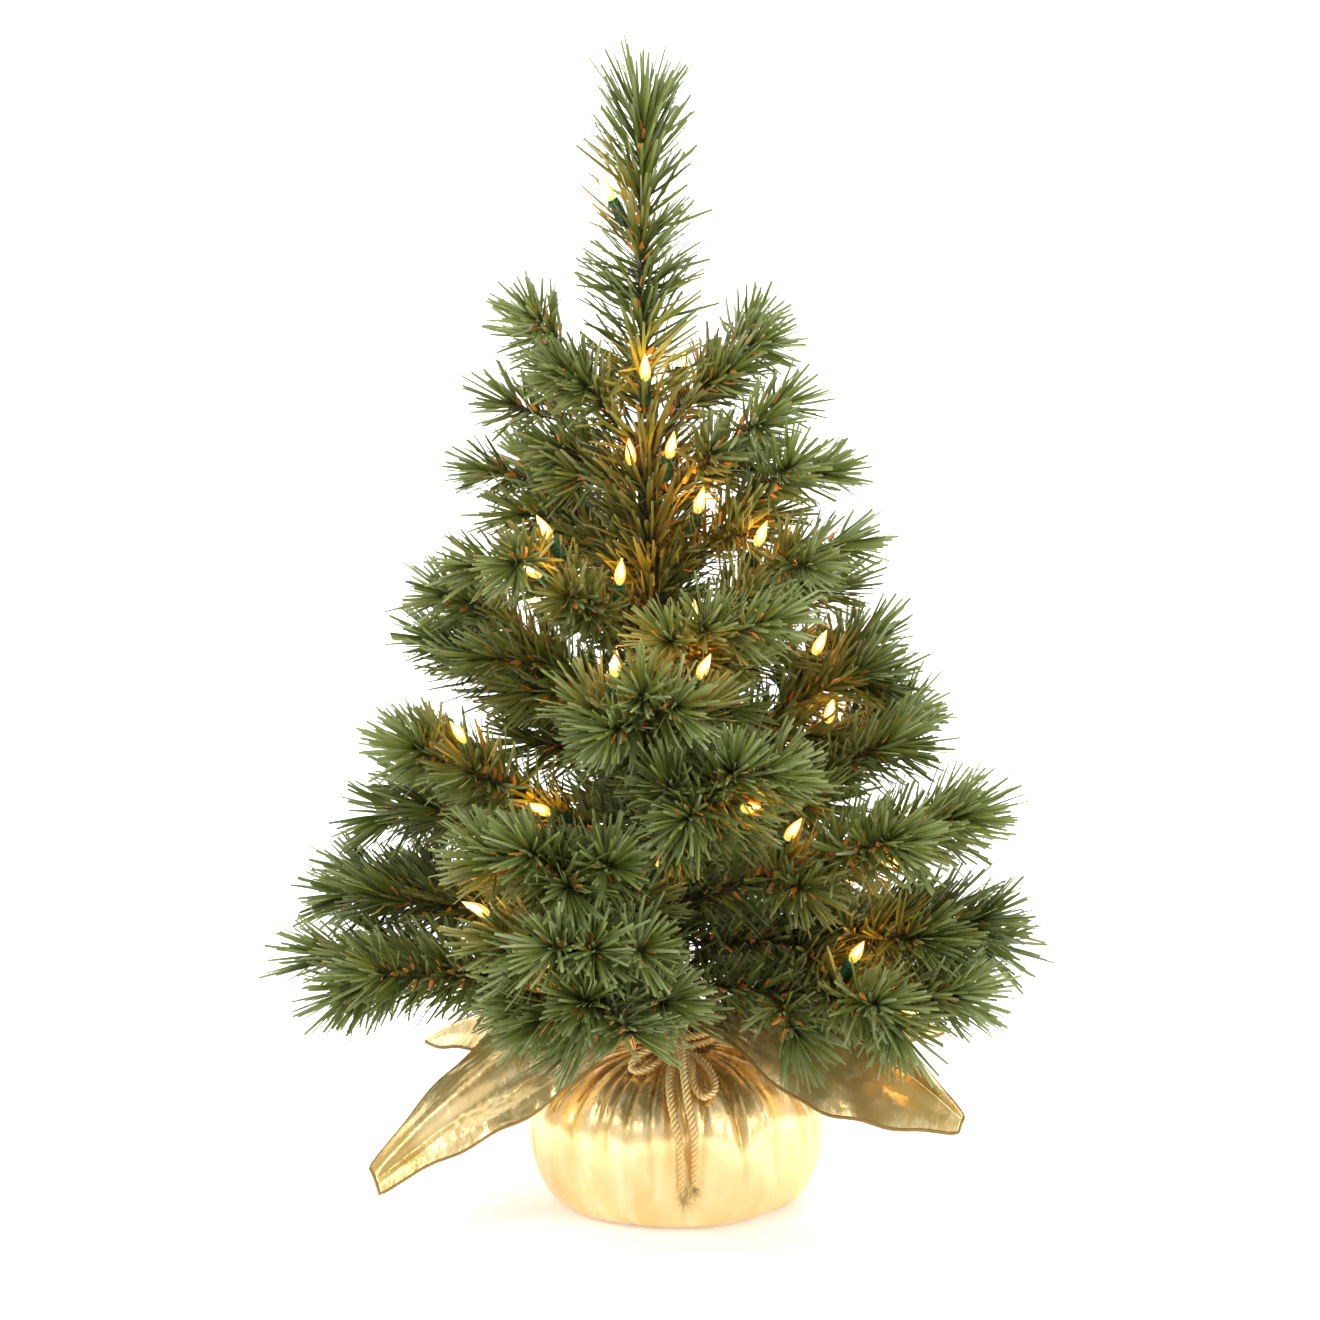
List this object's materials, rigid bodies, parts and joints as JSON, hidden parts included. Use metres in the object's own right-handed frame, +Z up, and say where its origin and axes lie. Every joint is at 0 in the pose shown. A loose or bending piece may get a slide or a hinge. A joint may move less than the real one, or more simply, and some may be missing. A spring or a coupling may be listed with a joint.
{
  "type": "artificial tabletop tree",
  "caption": "Small artificial pine with bendable wire branches and clear push-in lamps, standing in a weighted gold cloth bag tied with a cord bow.",
  "frame": {"origin": "centre of the bag's flat foot, on the surface that it stands on", "axes": "+Z up along the trunk, -Y to the front where the bow is, +X to the right seen from the front"},
  "size_m": [0.3896, 0.3861, 0.61],
  "materials": {
    "black_plastic": "satin",
    "cement": "rough",
    "steel": "plain",
    "gold_cloth": "metallic sheen",
    "gold_cord": "metallic thread",
    "brown_tape": "matte",
    "green_wire": "satin",
    "green_needles": "matte",
    "green_plastic": "satin",
    "bulb_glass": "clear, lit from inside"
  },
  "bodies": {
    "base_and_trunk": {"bag_corner_back_left": "gold_cloth", "bag_corner_back_right": "gold_cloth", "bag_corner_front_left": "gold_cloth", "bag_corner_front_right": "gold_cloth", "bow_knot": "gold_cord", "bow_loop_left": "gold_cord", "bow_loop_right": "gold_cord", "bow_tail_left": "gold_cord", "bow_tail_right": "gold_cord", "cement_weight": "cement", "gold_bag": "gold_cloth", "light_wire": "green_wire", "neck_cord": "gold_cord", "trunk_rod": "steel", "trunk_tape": "brown_tape", "weight_tub": "black_plastic"},
    "branch_01_body": {"branch_01": "green_needles"},
    "branch_02_body": {"branch_02": "green_needles"},
    "branch_03_body": {"branch_03": "green_needles", "lamp_holder_1": "green_plastic"},
    "lamp_1_bulb": {"lamp_bulb_1": "bulb_glass"},
    "branch_04_body": {"branch_04": "green_needles"},
    "branch_05_body": {"branch_05": "green_needles"},
    "branch_06_body": {"branch_06": "green_needles"},
    "branch_07_body": {"branch_07": "green_needles"},
    "branch_08_body": {"branch_08": "green_needles"},
    "branch_09_body": {"branch_09": "green_needles", "lamp_holder_2": "green_plastic"},
    "lamp_2_bulb": {"lamp_bulb_2": "bulb_glass"},
    "branch_10_body": {"branch_10": "green_needles", "lamp_holder_3": "green_plastic"},
    "lamp_3_bulb": {"lamp_bulb_3": "bulb_glass"},
    "branch_11_body": {"branch_11": "green_needles"},
    "branch_12_body": {"branch_12": "green_needles"},
    "branch_13_body": {"branch_13": "green_needles"},
    "branch_14_body": {"branch_14": "green_needles"},
    "branch_15_body": {"branch_15": "green_needles"},
    "branch_16_body": {"branch_16": "green_needles", "lamp_holder_4": "green_plastic"},
    "lamp_4_bulb": {"lamp_bulb_4": "bulb_glass"},
    "branch_17_body": {"branch_17": "green_needles"},
    "branch_18_body": {"branch_18": "green_needles"},
    "branch_19_body": {"branch_19": "green_needles"},
    "branch_20_body": {"branch_20": "green_needles"},
    "branch_21_body": {"branch_21": "green_needles"},
    "branch_22_body": {"branch_22": "green_needles"},
    "branch_23_body": {"branch_23": "green_needles"},
    "branch_24_body": {"branch_24": "green_needles", "lamp_holder_5": "green_plastic"},
    "lamp_5_bulb": {"lamp_bulb_5": "bulb_glass"},
    "branch_25_body": {"branch_25": "green_needles"},
    "branch_26_body": {"branch_26": "green_needles"},
    "branch_27_body": {"branch_27": "green_needles"},
    "branch_28_body": {"branch_28": "green_needles"},
    "branch_29_body": {"branch_29": "green_needles"},
    "branch_30_body": {"branch_30": "green_needles"},
    "branch_31_body": {"branch_31": "green_needles"},
    "branch_32_body": {"branch_32": "green_needles"},
    "leader_body": {"leader": "green_needles"}
  },
  "joints": [
    {"name": "branch_01_bend", "type": "hinge", "parent": "base_and_trunk", "child": "branch_01_body", "pos_m": [-0.01238, -0.00053, 0.1195], "axis": [-0.0698, 0.9976, 0], "range_deg": [-12, 7]},
    {"name": "branch_02_bend", "type": "hinge", "parent": "base_and_trunk", "child": "branch_02_body", "pos_m": [-0.00664, -0.00737, 0.1195], "axis": [-0.9703, 0.2419, 0], "range_deg": [-12, 6]},
    {"name": "branch_03_bend", "type": "hinge", "parent": "base_and_trunk", "child": "branch_03_body", "pos_m": [0.00165, -0.00403, 0.1195], "axis": [-0.5299, -0.848, 0], "range_deg": [-12, 6]},
    {"name": "lamp_1_pull", "type": "slide", "parent": "branch_03_body", "child": "lamp_1_bulb", "axis": [0.9576, -0.2419, -0.1564], "range_m": [0, 0.01]},
    {"name": "branch_04_bend", "type": "hinge", "parent": "base_and_trunk", "child": "branch_04_body", "pos_m": [0.00102, 0.00488, 0.1195], "axis": [0.6428, -0.766, 0], "range_deg": [-10, 25]},
    {"name": "branch_05_bend", "type": "hinge", "parent": "base_and_trunk", "child": "branch_05_body", "pos_m": [-0.00765, 0.00705, 0.1195], "axis": [0.9272, 0.3746, 0], "range_deg": [-12, 25]},
    {"name": "branch_06_bend", "type": "hinge", "parent": "base_and_trunk", "child": "branch_06_body", "pos_m": [0.00154, -0.00235, 0.1415], "axis": [-0.309, -0.9511, 0], "range_deg": [-6, 12]},
    {"name": "branch_07_bend", "type": "hinge", "parent": "base_and_trunk", "child": "branch_07_body", "pos_m": [-0.00333, 0.00723, 0.1415], "axis": [0.9511, -0.309, 0], "range_deg": [-12, 17]},
    {"name": "branch_08_bend", "type": "hinge", "parent": "base_and_trunk", "child": "branch_08_body", "pos_m": [-0.01291, 0.00235, 0.1415], "axis": [0.309, 0.9511, 0], "range_deg": [-7, 17]},
    {"name": "branch_09_bend", "type": "hinge", "parent": "base_and_trunk", "child": "branch_09_body", "pos_m": [-0.00803, -0.00723, 0.1415], "axis": [-0.9511, 0.309, 0], "range_deg": [-5, 13]},
    {"name": "lamp_2_pull", "type": "slide", "parent": "branch_09_body", "child": "lamp_2_bulb", "axis": [-0.5818, -0.8123, -0.0408], "range_m": [0, 0.01]},
    {"name": "branch_10_bend", "type": "hinge", "parent": "base_and_trunk", "child": "branch_10_body", "pos_m": [0.00024, -0.00321, 0.1655], "axis": [-0.4226, -0.9063, 0], "range_deg": [-12, 23]},
    {"name": "lamp_3_pull", "type": "slide", "parent": "branch_10_body", "child": "lamp_3_bulb", "axis": [0.7328, -0.6753, 0.0841], "range_m": [0, 0.01]},
    {"name": "branch_11_bend", "type": "hinge", "parent": "base_and_trunk", "child": "branch_11_body", "pos_m": [-0.00344, 0.00689, 0.1655], "axis": [0.9063, -0.4226, 0], "range_deg": [-12, 25]},
    {"name": "branch_12_bend", "type": "hinge", "parent": "base_and_trunk", "child": "branch_12_body", "pos_m": [-0.01354, 0.00321, 0.1655], "axis": [0.4226, 0.9063, 0], "range_deg": [-12, 25]},
    {"name": "branch_13_bend", "type": "hinge", "parent": "base_and_trunk", "child": "branch_13_body", "pos_m": [-0.00986, -0.00689, 0.1655], "axis": [-0.9063, 0.4226, 0], "range_deg": [-12, 25]},
    {"name": "branch_14_bend", "type": "hinge", "parent": "base_and_trunk", "child": "branch_14_body", "pos_m": [-0.00962, 0.00734, 0.1905], "axis": [0.9659, 0.2588, 0], "range_deg": [-12, 23]},
    {"name": "branch_15_bend", "type": "hinge", "parent": "base_and_trunk", "child": "branch_15_body", "pos_m": [-0.01499, -0.00197, 0.1905], "axis": [-0.2588, 0.9659, 0], "range_deg": [-12, 25]},
    {"name": "branch_16_bend", "type": "hinge", "parent": "base_and_trunk", "child": "branch_16_body", "pos_m": [-0.00568, -0.00734, 0.1905], "axis": [-0.9659, -0.2588, 0], "range_deg": [-12, 12]},
    {"name": "lamp_4_pull", "type": "slide", "parent": "branch_16_body", "child": "lamp_4_bulb", "axis": [0.5323, -0.8186, 0.2157], "range_m": [0, 0.01]},
    {"name": "branch_17_bend", "type": "hinge", "parent": "base_and_trunk", "child": "branch_17_body", "pos_m": [-0.00031, 0.00197, 0.1905], "axis": [0.2588, -0.9659, 0], "range_deg": [-12, 10]},
    {"name": "branch_18_bend", "type": "hinge", "parent": "base_and_trunk", "child": "branch_18_body", "pos_m": [-0.01524, 0.00425, 0.2225], "axis": [0.5592, 0.829, 0], "range_deg": [-12, 13]},
    {"name": "branch_19_bend", "type": "hinge", "parent": "base_and_trunk", "child": "branch_19_body", "pos_m": [-0.00947, -0.00758, 0.2225], "axis": [-0.9976, 0.0698, 0], "range_deg": [-12, 14]},
    {"name": "branch_20_bend", "type": "hinge", "parent": "base_and_trunk", "child": "branch_20_body", "pos_m": [-0.00211, 0.00333, 0.2225], "axis": [0.4384, -0.8988, 0], "range_deg": [-12, 14]},
    {"name": "branch_21_bend", "type": "hinge", "parent": "base_and_trunk", "child": "branch_21_body", "pos_m": [-0.00854, -0.00737, 0.2585], "axis": [-0.9703, -0.2419, 0], "range_deg": [-12, 25]},
    {"name": "branch_22_bend", "type": "hinge", "parent": "base_and_trunk", "child": "branch_22_body", "pos_m": [-0.00492, 0.00528, 0.2585], "axis": [0.6947, -0.7193, 0], "range_deg": [-12, 25]},
    {"name": "branch_23_bend", "type": "hinge", "parent": "base_and_trunk", "child": "branch_23_body", "pos_m": [-0.01769, 0.0021, 0.2585], "axis": [0.2756, 0.9613, 0], "range_deg": [-12, 25]},
    {"name": "branch_24_bend", "type": "hinge", "parent": "base_and_trunk", "child": "branch_24_body", "pos_m": [-0.01814, -0.00457, 0.3005], "axis": [-0.6018, 0.7986, 0], "range_deg": [-12, 25]},
    {"name": "lamp_5_pull", "type": "slide", "parent": "branch_24_body", "child": "lamp_5_bulb", "axis": [-0.5126, -0.7648, 0.3903], "range_m": [0, 0.01]},
    {"name": "branch_25_bend", "type": "hinge", "parent": "base_and_trunk", "child": "branch_25_body", "pos_m": [-0.00507, -0.00297, 0.3005], "axis": [-0.3907, -0.9205, 0], "range_deg": [-12, 13]},
    {"name": "branch_26_bend", "type": "hinge", "parent": "base_and_trunk", "child": "branch_26_body", "pos_m": [-0.013, 0.00754, 0.3005], "axis": [0.9925, 0.1219, 0], "range_deg": [-12, 25]},
    {"name": "branch_27_bend", "type": "hinge", "parent": "base_and_trunk", "child": "branch_27_body", "pos_m": [-0.00655, -0.00285, 0.3385], "axis": [-0.3746, -0.9272, 0], "range_deg": [-12, 14]},
    {"name": "branch_28_bend", "type": "hinge", "parent": "base_and_trunk", "child": "branch_28_body", "pos_m": [-0.02064, 0.00285, 0.3385], "axis": [0.3746, 0.9272, 0], "range_deg": [-12, 12]},
    {"name": "branch_29_bend", "type": "hinge", "parent": "base_and_trunk", "child": "branch_29_body", "pos_m": [-0.0221, 0.00309, 0.3775], "axis": [0.4067, 0.9135, 0], "range_deg": [-12, 25]},
    {"name": "branch_30_bend", "type": "hinge", "parent": "base_and_trunk", "child": "branch_30_body", "pos_m": [-0.00822, -0.00309, 0.3775], "axis": [-0.4067, -0.9135, 0], "range_deg": [-12, 25]},
    {"name": "branch_31_bend", "type": "hinge", "parent": "base_and_trunk", "child": "branch_31_body", "pos_m": [-0.00934, 0.0021, 0.4145], "axis": [0.2756, -0.9613, 0], "range_deg": [-12, 25]},
    {"name": "branch_32_bend", "type": "hinge", "parent": "base_and_trunk", "child": "branch_32_body", "pos_m": [-0.02395, -0.0021, 0.4145], "axis": [-0.2756, 0.9613, 0], "range_deg": [-12, 25]},
    {"name": "leader_bend", "type": "hinge", "parent": "base_and_trunk", "child": "leader_body", "pos_m": [-0.01704, 0, 0.42426], "axis": [0, 1, 0], "range_deg": [-12, 12]}
  ]
}
